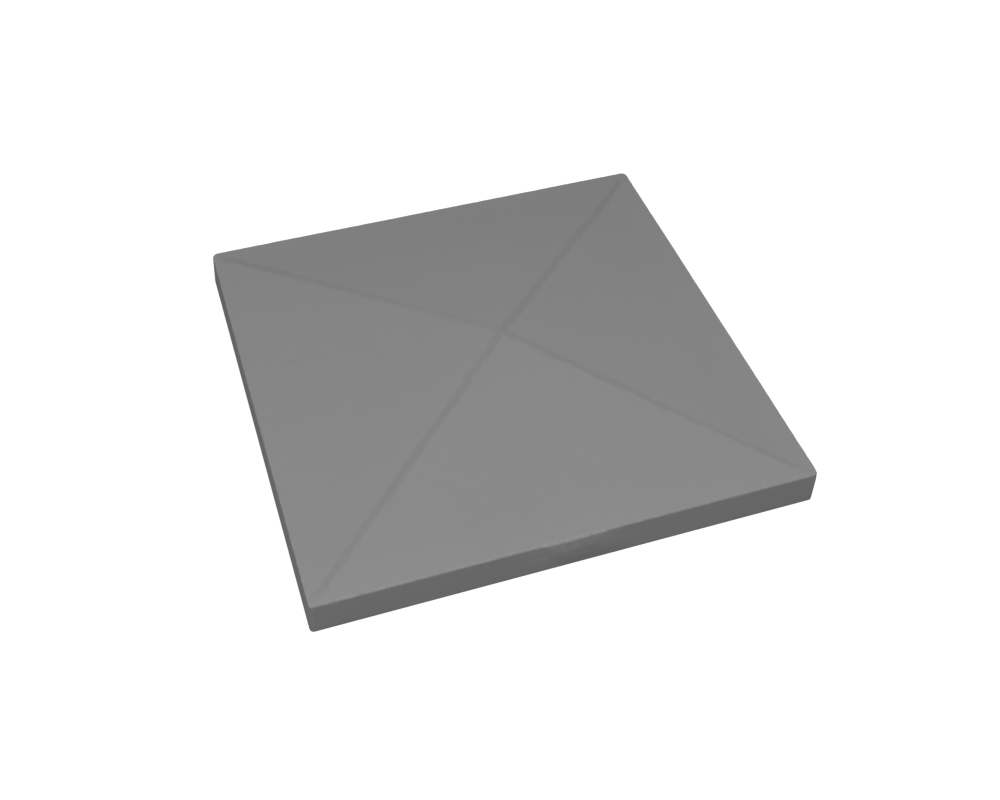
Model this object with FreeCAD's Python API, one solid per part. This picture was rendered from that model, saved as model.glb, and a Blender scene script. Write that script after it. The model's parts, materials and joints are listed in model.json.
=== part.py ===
import FreeCAD
import Part

import math
import os

# Square pier cap: one concrete casting that closes the top of a masonry pier and sheds the rain.
# Four shallow slopes rise from a plain slab to a low peak. The cap is cast face down, so its bed is
# the open side of the mould and the widest part, and the sides lean in a little from there to the rim.
# Millimetres, +Z up. The origin is the middle of the bed, and +Y is away from the front side.

# Driving dimensions
foot_side = 450.0  # side of the square bed, before its edge is rounded
edge_height = 32.0  # bed to the line where a slope meets a side, before the rim is rounded
peak_height = 61.5  # bed to the point where the four slopes meet, before the hips are rounded
peak_offset = 10.5  # how far towards +X the peak stands from the middle of the bed
draft_angle = 2.5  # lean of the sides, in degrees
corner_radius = 6.5  # upright corners
hip_radius = 36.0  # hips, where two slopes meet
rim_radius = 1.5  # rim, where the slopes meet the sides
arris_radius = 1.0  # edge of the bed

# How close an edge's middle lies to a surface that it belongs to
touch = 1e-4


def square(half_side, height):
    """Corners of a level square about the Z axis, anticlockwise seen from above."""
    signs = ((-1, -1), (1, -1), (1, 1), (-1, 1))
    return [FreeCAD.Vector(x * half_side, y * half_side, height) for x, y in signs]


def half_side_at(height):
    """Half the side of the slab at a height above the bed, with the lean of its sides."""
    return foot_side / 2 - height * math.tan(math.radians(draft_angle))


def flat_faced_solid(outlines):
    """Solid bounded by one flat face in each closed outline of points."""
    faces = [Part.Face(Part.makePolygon(points + points[:1])) for points in outlines]
    return Part.makeSolid(Part.makeShell(faces))


def middle_touches(edge, solid):
    """True where the middle of an edge lies on the surface of a solid."""
    middle = edge.valueAt((edge.FirstParameter + edge.LastParameter) / 2)
    return Part.Vertex(middle).distToShape(solid.Shells[0])[0] < touch


def leaning_slab():
    """The slab up to the height of the peak, with its upright corners rounded."""
    bed = square(half_side_at(0), 0)
    top = square(half_side_at(peak_height), peak_height)
    sides = [[bed[i - 1], bed[i], top[i], top[i - 1]] for i in range(4)]
    slab = flat_faced_solid([bed[::-1], top, *sides])
    uprights = [e for e in slab.Edges if e.BoundBox.ZLength > edge_height]
    return slab.makeFillet(corner_radius, uprights)


def sloping_roof():
    """The four slopes as a pyramid that runs on past the rim to below the bed, with its hips rounded."""
    peak = FreeCAD.Vector(peak_offset, 0, peak_height)
    run_on = 2 * peak_height / (peak_height - edge_height)
    eaves = [peak + (corner - peak) * run_on for corner in square(half_side_at(edge_height), edge_height)]
    slopes = [[eaves[i - 1], eaves[i], peak] for i in range(4)]
    roof = flat_faced_solid([eaves[::-1], *slopes])
    hips = [e for e in roof.Edges if e.BoundBox.ZLength > peak_height]
    return roof.makeFillet(hip_radius, hips)


def pier_cap():
    """The slab under its roof, with the rim and the edge of the bed rounded."""
    slab, roof = leaning_slab(), sloping_roof()
    cap = slab.common(roof)
    rim = [e for e in cap.Edges if middle_touches(e, slab) and middle_touches(e, roof)]
    cap = cap.makeFillet(rim_radius, rim)
    bed_edge = [e for e in cap.Edges if e.BoundBox.ZMax < touch]
    return cap.makeFillet(arris_radius, bed_edge).Solids[0]


cap = pier_cap()
box = cap.optimalBoundingBox()
litres = cap.Volume / 1e6
print(f"pier_cap {box.XLength:.2f} x {box.YLength:.2f} x {box.ZLength:.2f} mm, {litres:.3f} litres")
os.makedirs("parts", exist_ok=True)
cap.exportStep("parts/pier_cap.step")
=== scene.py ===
# %% [markdown]
# # A concrete pier cap
#
# The cap closes the top of a masonry pier. It is one casting: a plain square slab whose upper face rises
# in four shallow slopes to a low peak, so that the rain runs off. This lesson makes it as a mason would
# make one by hand, with a block, four saw cuts and a rubbing stone, and then gives it the fine, matt face
# of concrete that comes out of a smooth mould.
#
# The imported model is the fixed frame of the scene, and its box gives the size of the slab. One Blender
# unit is a metre, the bed of the cap lies on the floor at z = 0, and +Y points away from the front side.

import json
import math

import bmesh
import bpy
from mathutils import Matrix, Vector, noise


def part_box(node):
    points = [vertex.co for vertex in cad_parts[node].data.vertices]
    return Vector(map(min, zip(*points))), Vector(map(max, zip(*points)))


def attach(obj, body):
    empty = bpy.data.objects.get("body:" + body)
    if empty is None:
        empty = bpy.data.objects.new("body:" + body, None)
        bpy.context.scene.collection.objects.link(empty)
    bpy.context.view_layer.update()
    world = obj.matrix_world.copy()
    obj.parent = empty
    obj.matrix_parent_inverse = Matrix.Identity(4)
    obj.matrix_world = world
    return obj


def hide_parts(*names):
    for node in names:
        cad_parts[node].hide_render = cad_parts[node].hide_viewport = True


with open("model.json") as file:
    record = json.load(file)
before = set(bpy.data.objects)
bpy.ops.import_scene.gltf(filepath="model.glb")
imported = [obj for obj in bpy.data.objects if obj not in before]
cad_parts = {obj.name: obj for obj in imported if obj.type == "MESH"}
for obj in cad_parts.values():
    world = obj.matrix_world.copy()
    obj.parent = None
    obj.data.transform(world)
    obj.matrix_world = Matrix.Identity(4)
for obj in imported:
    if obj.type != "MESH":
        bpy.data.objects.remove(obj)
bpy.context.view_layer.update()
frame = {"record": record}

MM = 0.001
scene = bpy.context.scene
cap_low, cap_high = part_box("pier_cap")
foot_side = cap_high.x - cap_low.x
print(f"pier cap: {foot_side / MM:.1f} mm square, {(cap_high.z - cap_low.z) / MM:.1f} mm high")

# %% [markdown]
# ## The camera
#
# The cap was photographed from above one corner, with a lens close to the normal one. The straight lines
# of its outline are enough to work back to where the camera stood. A camera could also be set by eye, but
# then every later comparison would fight a slightly wrong perspective. Azimuth 0 looks along +Y, elevation
# is counted from the horizon, and a small roll is left from a camera held in the hand.

# %% Set up the camera
VIEW_AZIMUTH = math.radians(-18.595)
VIEW_ELEVATION = math.radians(46.695)
VIEW_ROLL = math.radians(0.538)
CAMERA_PLACE = Vector((-0.2694, -0.8273, 0.8952))
LENS_MM = 47.36

camera = bpy.data.objects.new("camera", bpy.data.cameras.new("camera"))
camera.data.lens = LENS_MM
camera.matrix_world = (
    Matrix.Translation(CAMERA_PLACE)
    @ Matrix.Rotation(VIEW_AZIMUTH, 4, "Z")
    @ Matrix.Rotation(math.pi / 2 - VIEW_ELEVATION, 4, "X")
    @ Matrix.Rotation(VIEW_ROLL, 4, "Z")
)
scene.collection.objects.link(camera)
scene.camera = camera
print(f"camera {CAMERA_PLACE.length:.2f} m from the middle of the bed")

# %% [markdown]
# ## Floor and background
#
# A product picture stands on plain white. White paint alone would throw a lot of light back at the sides
# of the cap and wash out the difference between its top and its sides. So the floor is grey for the light
# that bounces, and only what the camera sees directly, or in a reflection, gets the extra glow that brings
# it up to white. The grey part still takes the soft shadow of the cap.

# %% Mix the floor material
FLOOR_GREY = 0.28
FLOOR_GLOW = 0.86


def new_material(name):
    """An empty node material, and its node tree."""
    material = bpy.data.materials.new(name)
    material.use_nodes = True
    material.node_tree.nodes.clear()
    return material, material.node_tree


def add_node(tree, kind, inputs=None, **settings):
    """A node with its settings made. An input that is a socket is linked, and a value is written in."""
    node = tree.nodes.new(kind)
    for name, value in settings.items():
        setattr(node, name, value)
    for key, value in (inputs or {}).items():
        if isinstance(value, bpy.types.NodeSocket):
            tree.links.new(value, node.inputs[key])
        else:
            node.inputs[key].default_value = value
    return node


def seen_directly(tree):
    """1 for what the camera sees itself or in a reflection, and 0 for light that bounces."""
    path = add_node(tree, "ShaderNodeLightPath").outputs
    mirrored = add_node(tree, "ShaderNodeMath", {0: path["Is Glossy Ray"], 1: path["Is Transmission Ray"]},
                        operation="MAXIMUM")
    return add_node(tree, "ShaderNodeMath", {0: path["Is Camera Ray"], 1: mirrored.outputs[0]},
                    operation="MAXIMUM").outputs[0]


floor_material, tree = new_material("studio_floor")
grey = add_node(tree, "ShaderNodeBsdfDiffuse", {"Color": (FLOOR_GREY, FLOOR_GREY, FLOOR_GREY, 1)})
strength = add_node(tree, "ShaderNodeMath", {0: seen_directly(tree), 1: FLOOR_GLOW}, operation="MULTIPLY")
glow = add_node(tree, "ShaderNodeEmission", {"Strength": strength.outputs[0]})
both = add_node(tree, "ShaderNodeAddShader", {0: grey.outputs[0], 1: glow.outputs[0]})
add_node(tree, "ShaderNodeOutputMaterial", {"Surface": both.outputs[0]})
print(f"{floor_material.name}: grey {FLOOR_GREY}, glow {FLOOR_GLOW}")

# %% Lay the floor
FLOOR_SIZE = 12.0

floor_mesh = bmesh.new()
bmesh.ops.create_grid(floor_mesh, x_segments=1, y_segments=1, size=FLOOR_SIZE / 2)
floor = bpy.data.objects.new("floor", bpy.data.meshes.new("floor"))
floor_mesh.to_mesh(floor.data)
floor_mesh.free()
floor.data.materials.append(floor_material)
scene.collection.objects.link(floor)
print(f"floor {FLOOR_SIZE:.0f} m wide")

# %% [markdown]
# ## Light
#
# The picture has no hard shadow. A sun lamp would draw one, so the light comes from a sky and two panels.
# The sky gives about two fifths of it. One panel hangs high over the front side: the front slope comes out
# the brightest, the back slope the darkest, and the upright sides get a bit more than half of the light of
# the top. A weak panel stands low on the left and brings up the left slope and the left side, most of all
# towards the front. Together they light the top so that its grey comes out about as it is written in the
# material.

# %% Hang the lights
SKY_STRENGTH = 0.392
PANEL_SIZE = 0.8
KEY_PLACE = Vector((-0.04, -0.72, 1.75))
KEY_WATTS = 21.2
SIDE_PLACE = Vector((-0.98, -0.27, 0.44))
SIDE_WATTS = 1.55

scene.view_settings.view_transform = "Standard"
world = bpy.data.worlds.new("studio")
scene.world = world
world.use_nodes = True
tree = world.node_tree
tree.nodes.clear()
sky = add_node(tree, "ShaderNodeBackground", {"Color": (1, 1, 1, 1), "Strength": SKY_STRENGTH})
white = add_node(tree, "ShaderNodeBackground", {"Color": (1, 1, 1, 1), "Strength": 1.0})
mixed = add_node(tree, "ShaderNodeMixShader",
                 {0: seen_directly(tree), 1: sky.outputs[0], 2: white.outputs[0]})
add_node(tree, "ShaderNodeOutputWorld", {"Surface": mixed.outputs[0]})


def hang_panel(name, place, watts):
    """A square lamp panel that faces the cap and stays out of the picture itself."""
    lamp = bpy.data.lights.new(name, "AREA")
    lamp.size = PANEL_SIZE
    lamp.energy = watts
    panel = bpy.data.objects.new(name, lamp)
    panel.location = place
    panel.rotation_euler = place.to_track_quat("Z", "Y").to_euler()
    panel.visible_camera = False
    scene.collection.objects.link(panel)
    print(f"{name}: {watts} W at {place.length:.1f} m")


hang_panel("key_panel", KEY_PLACE, KEY_WATTS)
hang_panel("side_panel", SIDE_PLACE, SIDE_WATTS)

# %% [markdown]
# ## The block
#
# The mould leaves sides that lean in a little from the bed, because a casting with upright sides would
# not slip out. The block starts as a cube and is scaled to the bed. Its upper corners are drawn in by the
# lean, and a bevel rounds the upright corners. The offset of a bevel is measured from the edge along the
# face, which for a square corner is the radius itself. The two corners of the front side are a little
# sharper than the two at the back, so each corner has its own radius.

# %% Shape the block
EDGE_HEIGHT = 32 * MM
PEAK_HEIGHT = 61.5 * MM
PEAK_OFFSET = 10.5 * MM
LEAN = math.tan(math.radians(2.5))
CORNER_RADII = {(-1, -1): 3.8 * MM, (1, -1): 3.8 * MM, (1, 1): 6.5 * MM, (-1, 1): 6.5 * MM}
CORNER_STEPS = 8
ROUND_PROFILE = 0.5

block_height = PEAK_HEIGHT + EDGE_HEIGHT
cap = bmesh.new()
bmesh.ops.create_cube(cap, size=1.0)
bmesh.ops.scale(cap, vec=(foot_side, foot_side, block_height), verts=cap.verts)
bmesh.ops.translate(cap, vec=(0, 0, block_height / 2), verts=cap.verts)

drawn_in = 1 - 2 * block_height * LEAN / foot_side
upper = [v for v in cap.verts if v.co.z > block_height / 2]
bmesh.ops.scale(cap, vec=(drawn_in, drawn_in, 1), verts=upper)


def is_upright(edge):
    """True for an edge that runs from the bed to the top of the block."""
    return abs(edge.verts[0].co.z - edge.verts[1].co.z) > block_height / 2


for corner, radius in CORNER_RADII.items():
    outwards = Vector(corner)
    uprights = [e for e in cap.edges if is_upright(e) and e.verts[0].co.xy.dot(outwards) > foot_side / 2]
    bmesh.ops.bevel(cap, geom=uprights, offset=radius, offset_type="OFFSET", segments=CORNER_STEPS,
                    profile=ROUND_PROFILE, affect="EDGES", material=-1)
print(f"block: {len(cap.faces)} faces")

# %% [markdown]
# ## The four slopes
#
# Each slope is a flat saw cut through the peak and one line of the rim. Raising a middle vertex would make
# the same pyramid, but it would also drag the rounded corners into a fan of thin triangles. A cut leaves
# them as they are, and the hips fall out where two cuts meet. After each cut the open loop is closed with
# one flat face.

# %% Saw the slopes
peak = Vector((PEAK_OFFSET, 0, PEAK_HEIGHT))
rim_half = foot_side / 2 - EDGE_HEIGHT * LEAN
ON_PLANE = 0.0001 * MM
SLOPE_SIDES = {
    "front": Vector((0, -1, 0)),
    "right": Vector((1, 0, 0)),
    "back": Vector((0, 1, 0)),
    "left": Vector((-1, 0, 0)),
}


def slope_normal(side):
    """Upward normal of the plane through the peak and the rim line of one side."""
    run = rim_half - peak.dot(side)
    return (side * (PEAK_HEIGHT - EDGE_HEIGHT) + Vector((0, 0, run))).normalized()


for name, side in SLOPE_SIDES.items():
    whole = cap.verts[:] + cap.edges[:] + cap.faces[:]
    bmesh.ops.bisect_plane(cap, geom=whole, dist=ON_PLANE, plane_co=peak, plane_no=slope_normal(side),
                           clear_outer=True)
    bmesh.ops.holes_fill(cap, edges=[e for e in cap.edges if e.is_boundary], sides=0)
    print(f"{name} slope: {math.degrees(slope_normal(side).angle((0, 0, 1))):.1f} degrees")

# %% [markdown]
# ## Rim and bed edge
#
# The rim between the slopes and the sides is softly rounded, and so is the edge of the bed. The rim is the
# chain of edges with a slope on one side and a side face on the other, round the corners too, so it can be
# found by the direction of the two faces.

# %% Round the rim and the bed edge
RIM_RADIUS = 1.5 * MM
RIM_STEPS = 4
ARRIS_RADIUS = 1 * MM
ARRIS_STEPS = 3
FLAT_ENOUGH = 0.5


def kind_of(face):
    """A slope looks up, the bed looks down, and a side looks outwards."""
    if face.normal.z > FLAT_ENOUGH:
        return "slope"
    return "bed" if face.normal.z < -FLAT_ENOUGH else "side"


def edges_between(*kinds):
    """Edges with one kind of face on one side and the other kind on the other side."""
    return [e for e in cap.edges if sorted(map(kind_of, e.link_faces)) == sorted(kinds)]


cap.normal_update()
rim = edges_between("slope", "side")
bed_edge = edges_between("bed", "side")
for edges, radius, steps in ((rim, RIM_RADIUS, RIM_STEPS), (bed_edge, ARRIS_RADIUS, ARRIS_STEPS)):
    bmesh.ops.bevel(cap, geom=edges, offset=radius, offset_type="OFFSET", segments=steps,
                    profile=ROUND_PROFILE, affect="EDGES", material=-1)
print(f"{len(cap.faces)} faces with the rim and the bed edge rounded")

# %% [markdown]
# ## A fine net
#
# Relief needs points to move. The faces are sliced by upright planes along X and Y and by level planes
# through the sides. The slices are counted from the peak out to the rim, the same number on each side of
# it, so that they meet exactly on the hips and every hip stays one clean line of points. For that, a point
# within a hundredth of a millimetre of a plane counts as lying on it: else rounding errors would leave
# pairs of points side by side. The bed gets every sixth slice, because it needs only a slight unevenness.

# %% Slice the faces
SLICES = 112
LEVELS = 17
BED_STRIDE = 6
NEAR_PLANE = 0.01 * MM
FACING = 0.9
X_AXIS, Y_AXIS, UP = Vector((1, 0, 0)), Vector((0, 1, 0)), Vector((0, 0, 1))


def slice_faces(faces, normal, places):
    """Cuts faces by planes across one direction, and carries on with what lies beyond each cut."""
    for place in places:
        edges = list({e for f in faces for e in f.edges})
        verts = list({v for e in edges for v in e.verts})
        cut = bmesh.ops.bisect_plane(cap, geom=verts + edges + faces, dist=NEAR_PLANE,
                                     plane_co=normal * place, plane_no=normal)
        faces = [f for f in cut["geom"] if isinstance(f, bmesh.types.BMFace)
                 and f.calc_center_median().dot(normal) > place]


def faces_of(*kinds):
    """All faces of the given kinds, as they are now."""
    return [f for f in cap.faces if kind_of(f) in kinds]


def peak_to_rim(middle):
    """Slice places from one rim to the other, evenly spaced on each side of the peak."""
    shares = [i / SLICES for i in range(-SLICES + 1, SLICES)]
    return [middle + share * (rim_half - math.copysign(middle, share)) for share in shares]


slice_faces(faces_of("side"), UP, [EDGE_HEIGHT * i / LEVELS for i in range(1, LEVELS)])
for axis in (X_AXIS, Y_AXIS):
    places = peak_to_rim(peak.dot(axis))
    slice_faces([f for f in faces_of("slope", "side") if abs(f.normal.dot(axis)) < FACING], axis, places)
    slice_faces(faces_of("bed"), axis, places[::BED_STRIDE])
print(f"net: {len(cap.verts)} points, {len(cap.faces)} faces")

# %% [markdown]
# ## Rubbed hips
#
# On the casting the hips are not knife edges: the mould has a small radius there. A bevel on them would
# end badly in the short edges of the rounded corners. The net is fine enough to rub the hips instead: the
# points near a hip are drawn towards the mean height of their neighbours a few times, in height alone, so
# that they stay where they are in plan.

# %% Rub the hips
HIP_RUB = 4 * MM
RUB_PASSES = 4
RUB_FACTOR = 0.5
RIM_MARGIN = 6 * MM

right_hip = Vector((rim_half - peak.x, rim_half, 0)).normalized()
left_hip = Vector((-rim_half - peak.x, rim_half, 0)).normalized()
hip_normals = (right_hip.cross(UP), left_hip.cross(UP))


def hip_distance(place):
    """How far a place lies from the nearest hip, in plan. The near half mirrors the far half."""
    folded = Vector((place.x - peak.x, abs(place.y), 0))
    return min(abs(folded.dot(normal)) for normal in hip_normals)


def inside_rim(place):
    """How far a place lies inside the rim, in plan."""
    return rim_half - max(abs(place.x), abs(place.y))


hip_points = [v for v in cap.verts if v.co.z > EDGE_HEIGHT and inside_rim(v.co) > RIM_MARGIN
              and hip_distance(v.co) < HIP_RUB]
for _ in range(RUB_PASSES):
    bmesh.ops.smooth_vert(cap, verts=hip_points, factor=RUB_FACTOR, use_axis_z=True)
rubbed_peak = max(v.co.z for v in cap.verts)
print(f"rubbed {len(hip_points)} points, the peak went down by {(PEAK_HEIGHT - rubbed_peak) / MM:.2f} mm")

# %% [markdown]
# ## Waves and a worn rim
#
# The faces of a casting are never quite true. The slopes and sides wave by a fraction of a millimetre over
# the width of a hand, the rim has lost a little here and there, and the tip of the right front corner is
# rubbed round. A bump in the material would shade the faces the same way but leave the outline ruler
# straight, so the points themselves move, along their normals. Every move is worked out before the first
# one is made, so that none depends on the order.

# %% Describe the waves and the wear
WAVE_DEPTH = 0.2 * MM
WAVE_LENGTH = 95 * MM
SETTLE = 8 * MM
WEAR_WIDTH = 2.2 * MM
WEAR_SCALES = {16 * MM: 0.3 * MM, 6 * MM: 0.3 * MM}
RUBBED_TIP = Vector((rim_half, -rim_half, EDGE_HEIGHT))
TIP_RUB = 0.6 * MM
TIP_REACH = 6 * MM


def ramp(value, start, end):
    """0 before the start and 1 after the end, with a smooth change between them."""
    share = min(1.0, max(0.0, (value - start) / (end - start)))
    return share * share * (3 - 2 * share)


def from_rim(place):
    """Distance from the rim, over the slope or down the side."""
    return max(0.0, inside_rim(place)) + max(0.0, EDGE_HEIGHT - place.z)


def casting_wave(place):
    """Gentle waviness of the mould, which dies out towards the bed."""
    return WAVE_DEPTH * noise.noise(place / WAVE_LENGTH) * ramp(place.z, 0, SETTLE)


def rim_wear(place):
    """How much of the rim is rubbed away: long dents with short nicks in them, and one corner's tip."""
    nearness = math.exp(-(from_rim(place) / WEAR_WIDTH) ** 2)
    dents = sum(depth * max(0.0, noise.noise(place / length)) for length, depth in WEAR_SCALES.items())
    tip = TIP_RUB * math.exp(-((place - RUBBED_TIP).length / TIP_REACH) ** 2)
    return nearness * dents + tip


print(f"the rubbed tip loses {rim_wear(RUBBED_TIP) / MM:.2f} mm")


# %% Wave the faces and wear the rim
def push(verts, move_of):
    """Moves points by what a function gives for each of them, and returns the longest move in mm."""
    moves = [move_of(vert) for vert in verts]
    for vert, move in zip(verts, moves):
        vert.co += move
    return max(move.length for move in moves) / MM


cap.normal_update()
bed_points = list({v for f in faces_of("bed") for v in f.verts})
skin_points = list({v for f in faces_of("slope", "side") for v in f.verts}.difference(bed_points))
longest = push(skin_points, lambda v: v.normal * (casting_wave(v.co) - rim_wear(v.co)))
print(f"waves and wear move a point by {longest:.2f} mm at most")

# %% [markdown]
# ## A belly in the front side
#
# Halfway along the front side the mould gave way, and the side has a low belly there. It starts quickly on
# the left and runs out slowly to the right, leans to the right towards the bed, and is a little lumpy. It
# could be sculpted, but a function of the place does the same and can be set in millimetres. The belly has
# four limits along the side: where it starts, is full, begins to fade and ends. Each is given by its place
# at the rim and by how far it moves to the right for every step down. At the bed the mould held, so the
# belly is nothing there. It is most above the middle and a little less at the rim.

# %% Push out the belly
BELLY_LIMITS = ((-36 * MM, 0.3), (-18 * MM, 0.6), (-4 * MM, 1.2), (50 * MM, 0.6))
BELLY_DEPTH = 1.6 * MM
BELLY_HALF_WAVE = 0.715 * math.pi
BELLY_REACH = 14 * MM
LUMP_DEPTH = 0.4 * MM
LUMP_LENGTH, LUMP_HEIGHT = 12 * MM, 6 * MM
LUMP_RISE = 0.5


def lump(place):
    """Streaky unevenness that rises to the right."""
    across = (place.z - LUMP_RISE * place.x) / LUMP_HEIGHT
    return LUMP_DEPTH * noise.noise(Vector((place.x / LUMP_LENGTH, across, 0)))


def front_belly(place):
    """How far the front side stands out at a place."""
    below_rim = max(0.0, EDGE_HEIGHT - place.z)
    start, full, fading, end = (at_rim + slant * below_rim for at_rim, slant in BELLY_LIMITS)
    begun = ramp(place.x, start, full)
    over = ramp(place.x, fading, end)
    rise = math.sin(BELLY_HALF_WAVE * (1 - below_rim / EDGE_HEIGHT))
    near = 1 - ramp(inside_rim(place), 0, BELLY_REACH)
    return begun * (1 - over) * near * rise * (BELLY_DEPTH + lump(place))


front_points = [v for v in skin_points if v.co.y < -rim_half + BELLY_REACH]
longest = push(front_points, lambda v: -Y_AXIS * front_belly(v.co))
print(f"the belly stands out by {longest:.2f} mm")

# %% [markdown]
# ## A mould that isn't quite true
#
# Boards that are nailed up into a mould never stand quite true. The rims of the left and front sides stand
# in a little further than their lean would have it, those of the right and back sides stand out, and the
# foot of the right front corner is tucked in. The first cube could have been made so, but then the slopes
# would no longer meet over one point. Now that the faces have a net, the points along the sides are simply
# moved along X and Y, and the rest stays.

# %% Put the sides out of true
RIM_OUT = {
    "left": (-0.8 * MM, -0.9 * MM),
    "front": (-0.2 * MM, -0.7 * MM),
    "right": (0.3 * MM, 0.4 * MM),
    "back": (0.8 * MM, 0.1 * MM),
}
CORNER_TUCK = 2.7 * MM
TUCK_RUN = 120 * MM
SIDE_REACH = 14 * MM


def beside(place, name):
    """1 at the rim of a side and beyond it, and 0 from the reach inwards."""
    return 1 - ramp(rim_half - place.dot(SLOPE_SIDES[name]), 0, SIDE_REACH)


def out_of_true(place):
    """The move off the true shape. A rim shifts from one amount at its -X or -Y end to another."""
    up = min(1.0, place.z / EDGE_HEIGHT)
    tuck = CORNER_TUCK * (1 - ramp(place.y, -rim_half, TUCK_RUN - rim_half))
    move = -X_AXIS * tuck * (1 - up) * beside(place, "right")
    for name, (first, last) in RIM_OUT.items():
        side = SLOPE_SIDES[name]
        share = (place.y if side.x else place.x) / (2 * rim_half) + 0.5
        move += side * (first + share * (last - first)) * up * beside(place, name)
    return move


longest = push(cap.verts[:], lambda v: out_of_true(v.co))
print(f"the sides are out of true by {longest:.2f} mm at most")

# %% [markdown]
# ## The struck bed
#
# The bed was the open face of the mould and was struck off with a board. It stays level along its edge,
# where the cap stands on its mortar, and inside that it is hollow by a few tenths of a millimetre. It is
# the one face that nobody sees, so this plain unevenness is all it gets.

# %% Hollow the bed
BED_HOLLOW = 0.6 * MM
BED_LAND = 12 * MM
BED_SHOULDER = 40 * MM
BED_WAVE_LENGTH = 55 * MM


def bed_hollow(place):
    """How far the bed is hollow at a place."""
    inside = ramp(inside_rim(place), BED_LAND, BED_SHOULDER)
    return BED_HOLLOW * inside * (0.5 + 0.5 * noise.noise(place / BED_WAVE_LENGTH))


longest = push(bed_points, lambda v: UP * bed_hollow(v.co))
print(f"the bed is hollow by {longest:.2f} mm at most")

# %% [markdown]
# ## Air holes
#
# A few bubbles stay against the mould and leave small round pits. A sphere cut out with a boolean would
# do, but it would leave a ragged net around each pit. Here the four faces around a point are inset, the new
# ring is drawn to a circle, and the faces inside it are inset once more and pushed in. The casting is a
# dense one: the picture shows six pits on the slopes, each about a millimetre wide, and none on the sides.

# %% Press in the air holes
HOLE_WALL = 0.3
HOLE_RADII_MM = {
    (-64, 170): 0.6,
    (29, 156): 0.35,
    (-70, 55): 0.5,
    (-177, 43): 0.45,
    (180, -68): 0.4,
    (120, -195): 0.4,
}


def press_hole(vert, radius):
    """A round pit about a point of the net, as deep as its radius."""
    middle, faces = vert.co.copy(), vert.link_faces[:]
    bmesh.ops.inset_region(cap, faces=faces, thickness=radius, use_even_offset=True)
    for ring_vert in {v for f in faces for v in f.verts if v is not vert}:
        ring_vert.co = middle + (ring_vert.co - middle).normalized() * radius
    bmesh.ops.inset_region(cap, faces=faces, thickness=HOLE_WALL * radius, depth=-radius,
                           use_even_offset=True)


cap.normal_update()
slope_points = [v for v in cap.verts if len(v.link_faces) == 4 and inside_rim(v.co) > RIM_MARGIN
                and all(kind_of(f) == "slope" for f in v.link_faces)]
for spot, radius in HOLE_RADII_MM.items():
    press_hole(min(slope_points, key=lambda v: (v.co.xy - Vector(spot) * MM).length), radius * MM)
print(f"{len(HOLE_RADII_MM)} air holes")

# %% [markdown]
# ## From bmesh to object
#
# The finished bmesh becomes a mesh object. Its faces are shaded smooth: the net is so fine that the
# rounded rim and corners need no custom normals. The object itself stays at the origin, because its place
# is in its mesh.

# %% Make the object
cap.normal_update()
for face in cap.faces:
    face.smooth = True
cap_mesh = bpy.data.meshes.new("pier_cap_cast")
cap.to_mesh(cap_mesh)
cap.free()
cap_piece = bpy.data.objects.new("pier_cap_cast", cap_mesh)
scene.collection.objects.link(cap_piece)
cap_mesh.calc_loop_triangles()
print(f"{len(cap_mesh.loop_triangles)} triangles")

# %% [markdown]
# ## Concrete
#
# The concrete is a plain cement grey with very little in it: fine sand grain, faint clouds where the mix
# dried unevenly, a darker band a few millimetres wide along each hip, a paler rim, in specks where it is
# rubbed and faintly in a wide margin, a paler upper belly, which is partly rubbed and partly painted light
# where the belly faces up, and a dark line of painted shade at the foot. Each of these is a factor on the
# grey. Everything reads object coordinates, in metres, so a size in the pattern is a size on the cap. A
# painted image would do too, but it needs unwrapping and has an end to its resolution.

# %% Helpers for the concrete
concrete, tree = new_material("cast_concrete")
object_place = add_node(tree, "ShaderNodeTexCoord").outputs["Object"]
place_x, place_y, place_z = add_node(tree, "ShaderNodeSeparateXYZ", {0: object_place}).outputs


def calculate(operation, *values):
    """One step of arithmetic on sockets and numbers."""
    return add_node(tree, "ShaderNodeMath", dict(enumerate(values)), operation=operation).outputs[0]


def blend_over(value, start, end, at_start=0.0, at_end=1.0):
    """Smooth change from one value to another while a socket runs from start to end."""
    limits = {"From Min": start, "From Max": end, "To Min": at_start, "To Max": at_end}
    return add_node(tree, "ShaderNodeMapRange", {"Value": value, **limits},
                    interpolation_type="SMOOTHSTEP").outputs["Result"]


def grain(size, detail=2.0):
    """Noise with spots of about the given size, between 0 and 1 and mostly near a half."""
    settings = {"Vector": object_place, "Scale": 1 / size, "Detail": detail}
    return add_node(tree, "ShaderNodeTexNoise", settings).outputs["Fac"]


def swing(spots, reach, middle=0.0):
    """Noise turned into a number that swings about the middle by up to the reach."""
    return calculate("MULTIPLY_ADD", calculate("SUBTRACT", spots, 0.5), 2 * reach, middle)


print(f"{concrete.name}: {len(tree.nodes)} nodes that give the place on the cap")

# %% [markdown]
# ## Dark bands on the hips
#
# The distance from a hip is a dot product with the hip's normal in plan. The near half of the cap mirrors
# the far half, so the place is folded over the X axis first, and two hips serve for four. The bands aren't
# ruled. On the right they drift a few millimetres towards the front, noise at two lengths moves them
# sideways and at a third, short one frays their edges, and they are fainter in some stretches. The two at
# the back are darker towards their corners: that part is painted shade, for a hip that is rounder on its
# back side. The left one of these fades on its way up to the peak. The right one at the front gets slimmer
# on its way down.

# %% Measure the distance from a hip
HIP_DRIFT = 4.0 * MM
HIP_SWAYS = {120 * MM: 1.5 * MM, 26 * MM: 2.2 * MM}

off_peak = calculate("SUBTRACT", place_x, peak.x)
drift = calculate("MULTIPLY", calculate("MAXIMUM", off_peak, 0.0), HIP_DRIFT / (rim_half - peak.x))
beside_axis = calculate("ABSOLUTE", calculate("ADD", place_y, drift))
folded = add_node(tree, "ShaderNodeCombineXYZ", {"X": off_peak, "Y": beside_axis}).outputs[0]
sway = calculate("ADD", *(swing(grain(length), reach) for length, reach in HIP_SWAYS.items()))


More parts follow.
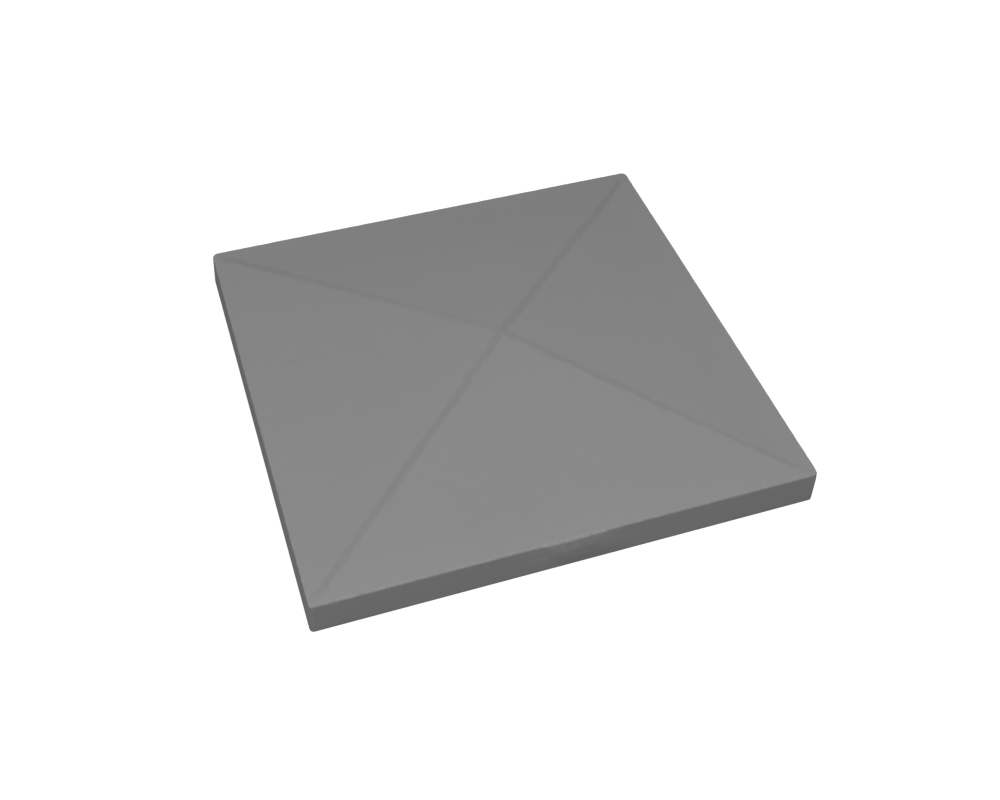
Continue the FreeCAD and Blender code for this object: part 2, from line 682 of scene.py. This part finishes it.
def gap_to_hip(normal):
    """Distance from one hip, with the sway of the band."""
    straight = add_node(tree, "ShaderNodeVectorMath", {0: folded, 1: normal}, operation="DOT_PRODUCT")
    return calculate("ABSOLUTE", calculate("ADD", straight.outputs["Value"], sway))


hip_gap = calculate("MINIMUM", *(gap_to_hip(normal) for normal in hip_normals))
print(f"the right bands drift by {HIP_DRIFT / MM:.0f} mm towards the front")

# %% Darken the hips
HIP_BAND_HALF = 3.4 * MM
HIP_BAND_EDGE = 1.8 * MM
HIP_FRAY, HIP_FRAY_LENGTH = 3.0 * MM, 8 * MM
HIP_FAINT, HIP_FAINT_LENGTH = 0.85, 80 * MM
FAINT_FROM, FAINT_TO = 0.42, 0.56
PEAK_FADE, FADE_EDGE = 0.5, 5 * MM
DARKER_FROM, DARKER_TO = 100 * MM, 180 * MM
SHADED_BACK_CORNERS = 1.25
SLIM_FROM, SLIM_TO = 70 * MM, 160 * MM
SLIMMER = 1.0 * MM
HIP_TONE = 0.912
HIP_END = 18 * MM

slimmer = calculate("MULTIPLY", blend_over(off_peak, SLIM_FROM, SLIM_TO, 0.0, SLIMMER),
                    blend_over(place_y, -FADE_EDGE, 0.0, 1.0, 0.0))
frayed_gap = calculate("ADD", calculate("ADD", hip_gap, slimmer), swing(grain(HIP_FRAY_LENGTH), HIP_FRAY))
hip_band = blend_over(frayed_gap, HIP_BAND_HALF - HIP_BAND_EDGE, HIP_BAND_HALF + HIP_BAND_EDGE, 1.0, 0.0)
faint = blend_over(grain(HIP_FAINT_LENGTH), FAINT_FROM, FAINT_TO, HIP_FAINT, 1.0)
before_rim = blend_over(beside_axis, rim_half - HIP_END, rim_half, 1.0, 0.0)
above_sides = blend_over(place_z, EDGE_HEIGHT - RIM_RADIUS, EDGE_HEIGHT)
far_left = calculate("MULTIPLY", blend_over(off_peak, -FADE_EDGE, 0.0, 1.0, 0.0),
                     blend_over(place_y, 0.0, FADE_EDGE))
faded = calculate("MULTIPLY", far_left, blend_over(place_y, 0.0, rim_half, PEAK_FADE, 0.0))
# The darker far ends of the two back hips are painted shade, for a hip that is rounder on its back side.
painted_back_shade = blend_over(place_y, DARKER_FROM, DARKER_TO, 1.0, SHADED_BACK_CORNERS)
hip_mask = hip_band
for mask in (faint, before_rim, above_sides, calculate("SUBTRACT", 1.0, faded), painted_back_shade):
    hip_mask = calculate("MULTIPLY", hip_mask, mask)
hip_tone = calculate("MULTIPLY_ADD", hip_mask, HIP_TONE - 1, 1.0)
print(f"hip bands {2 * HIP_BAND_HALF / MM:.0f} mm wide")

# %% [markdown]
# ## A pale rim
#
# Handling rubs the skin of cement off the rim and bares paler grains of sand, so the rim shows as a broken
# pale line. Its mask is the distance from the rim, the same one that the relief uses, built from nodes.
# The slopes are also a faint shade paler in a wide margin along the rim, though not on the left.

# %% Speckle the rim
SPECK_WIDTH = 4 * MM
SPECK_SIZE = 3 * MM
SPECK_FROM, SPECK_TO = 0.44, 0.60
SPECK_TONE = 1.13
MARGIN_WIDTH = 45 * MM
MARGIN_TONE = 1.025

from_axis = calculate("ABSOLUTE", place_y)
out_from_middle = calculate("MAXIMUM", calculate("ABSOLUTE", place_x), from_axis)
over_slope = calculate("MAXIMUM", calculate("SUBTRACT", rim_half, out_from_middle), 0.0)
down_side = calculate("MAXIMUM", calculate("SUBTRACT", EDGE_HEIGHT, place_z), 0.0)
near_rim = blend_over(calculate("ADD", over_slope, down_side), 0.0, SPECK_WIDTH, 1.0, 0.0)
bared = calculate("MULTIPLY", near_rim, blend_over(grain(SPECK_SIZE), SPECK_FROM, SPECK_TO))
speck_tone = calculate("MULTIPLY_ADD", bared, SPECK_TONE - 1, 1.0)

out_but_left = calculate("MAXIMUM", place_x, from_axis)
margin = blend_over(out_but_left, rim_half - MARGIN_WIDTH, rim_half)
margin_tone = calculate("MULTIPLY_ADD", calculate("MULTIPLY", margin, above_sides), MARGIN_TONE - 1, 1.0)
rim_length = len(SLOPE_SIDES) * 2 * rim_half
print(f"specks of {SPECK_SIZE / MM:.1f} mm along {rim_length:.2f} m of rim")

# %% [markdown]
# ## A paler belly
#
# The upper part of the belly is paler, in blotches, and the edge of the pale part rises to the right. This
# is partly painted light, where the belly faces up towards the lamps, and partly wear, since the belly
# stands out and is rubbed more than the rest of its side. The mask follows the belly along the side and
# fades out downwards and over the rim. A vertex colour could hold it too, but then its detail would end at
# the width of the net.

# %% Make the upper belly paler
BLOTCH_SIZE = 6 * MM
BLOTCH_FROM, BLOTCH_TO = 0.4, 0.6
BLOTCH_LOW, BLOTCH_HIGH = 0.3, 1.0
BELLY_LIGHT_AND_WEAR = 1.14
PALE_START, PALE_FULL_LEFT = -44 * MM, -28 * MM
PALE_FULL_RIGHT, PALE_END = 2 * MM, 46 * MM
PALE_FROM, PALE_RISE = 10 * MM, 0.25
RIM_PALE = 0.12
OVER_RIM = 3 * MM

# The paler upper belly is partly painted light, where the belly faces up, and partly rubbed wear.
left_end = blend_over(place_x, PALE_START, PALE_FULL_LEFT)
right_end = blend_over(place_x, PALE_FULL_RIGHT, PALE_END, 1.0, 0.0)
upper_part = blend_over(calculate("MULTIPLY_ADD", place_x, -PALE_RISE, place_z), PALE_FROM, EDGE_HEIGHT)
below_rim = blend_over(place_z, EDGE_HEIGHT - OVER_RIM, EDGE_HEIGHT, 1.0, RIM_PALE)
on_front = blend_over(place_y, -rim_half, OVER_RIM - rim_half, 1.0, 0.0)
blotches = blend_over(grain(BLOTCH_SIZE), BLOTCH_FROM, BLOTCH_TO, BLOTCH_LOW, BLOTCH_HIGH)
rubbed = calculate("MULTIPLY", left_end, right_end)
for mask in (upper_part, below_rim, on_front, blotches):
    rubbed = calculate("MULTIPLY", rubbed, mask)
belly_light_and_wear = calculate("MULTIPLY_ADD", rubbed, BELLY_LIGHT_AND_WEAR - 1, 1.0)
print(f"rubbed over {(PALE_END - PALE_START) / MM:.0f} mm of the front side")

# %% [markdown]
# ## A dark line at the foot
#
# Along the foot of the sides, where the edge of the bed turns under into the corner with the ground, the
# grey
# is darkened in a thin line: painted shade. A dark strip on the floor would look much the same, but it
# would not move with the cap. So the line is in the material, and the height alone gives its mask.

# %% Darken the foot
FOOT_LINE = 1.8 * MM
FOOT_SHADE_TONE = 0.72

# The dark line at the foot is painted shade, where the bed edge turns under into the corner with the
# ground.
painted_foot_shade = blend_over(place_z, 0.0, FOOT_LINE, FOOT_SHADE_TONE, 1.0)
print(f"dark line of {FOOT_LINE / MM:.1f} mm at the foot")

# %% [markdown]
# ## Putting the concrete together
#
# Clouds, mottle and sand are the same noise at three sizes. A fine bump gives the face its tooth, and the
# roughness changes a little from place to place, so that no part of it looks like plastic. The open,
# dusty skin of concrete hardly shines, not even at a low angle, so the specular level is far below the
# usual one.

# %% Put the concrete together
CONCRETE_GREY = frame["record"]["materials"][0]["base_color"][0]
TONE_LAYERS = {110 * MM: 0.025, 15 * MM: 0.015, 1.1 * MM: 0.03}
ROUGHNESS_SPOTS = 9 * MM
ROUGHNESS_LOW, ROUGHNESS_HIGH = 0.86, 0.96
TOOTH_SIZE, TOOTH_DETAIL = 2.0 * MM, 5.0
TOOTH_DEPTH, TOOTH_STRENGTH = 0.15 * MM, 0.35
SPECULAR_LEVEL = 0.02

tone = calculate("MULTIPLY", hip_tone, CONCRETE_GREY)
for factor in (speck_tone, margin_tone, belly_light_and_wear, painted_foot_shade):
    tone = calculate("MULTIPLY", tone, factor)
for size, reach in TONE_LAYERS.items():
    tone = calculate("MULTIPLY", tone, swing(grain(size), reach, middle=1.0))
roughness = blend_over(grain(ROUGHNESS_SPOTS), 0.0, 1.0, ROUGHNESS_LOW, ROUGHNESS_HIGH)
tooth = add_node(tree, "ShaderNodeBump", {
    "Strength": TOOTH_STRENGTH,
    "Distance": TOOTH_DEPTH,
    "Height": grain(TOOTH_SIZE, TOOTH_DETAIL),
})
surface = add_node(tree, "ShaderNodeBsdfPrincipled", {
    "Base Color": tone,
    "Roughness": roughness,
    "Specular IOR Level": SPECULAR_LEVEL,
    "Normal": tooth.outputs[0],
})
add_node(tree, "ShaderNodeOutputMaterial", {"Surface": surface.outputs[0]})
cap_mesh.materials.append(concrete)
print(f"concrete of grey {CONCRETE_GREY:.2f}, {len(tree.nodes)} nodes")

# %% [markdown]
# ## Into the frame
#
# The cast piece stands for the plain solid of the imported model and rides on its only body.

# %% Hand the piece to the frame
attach(cap_piece, "root")
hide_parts("pier_cap")
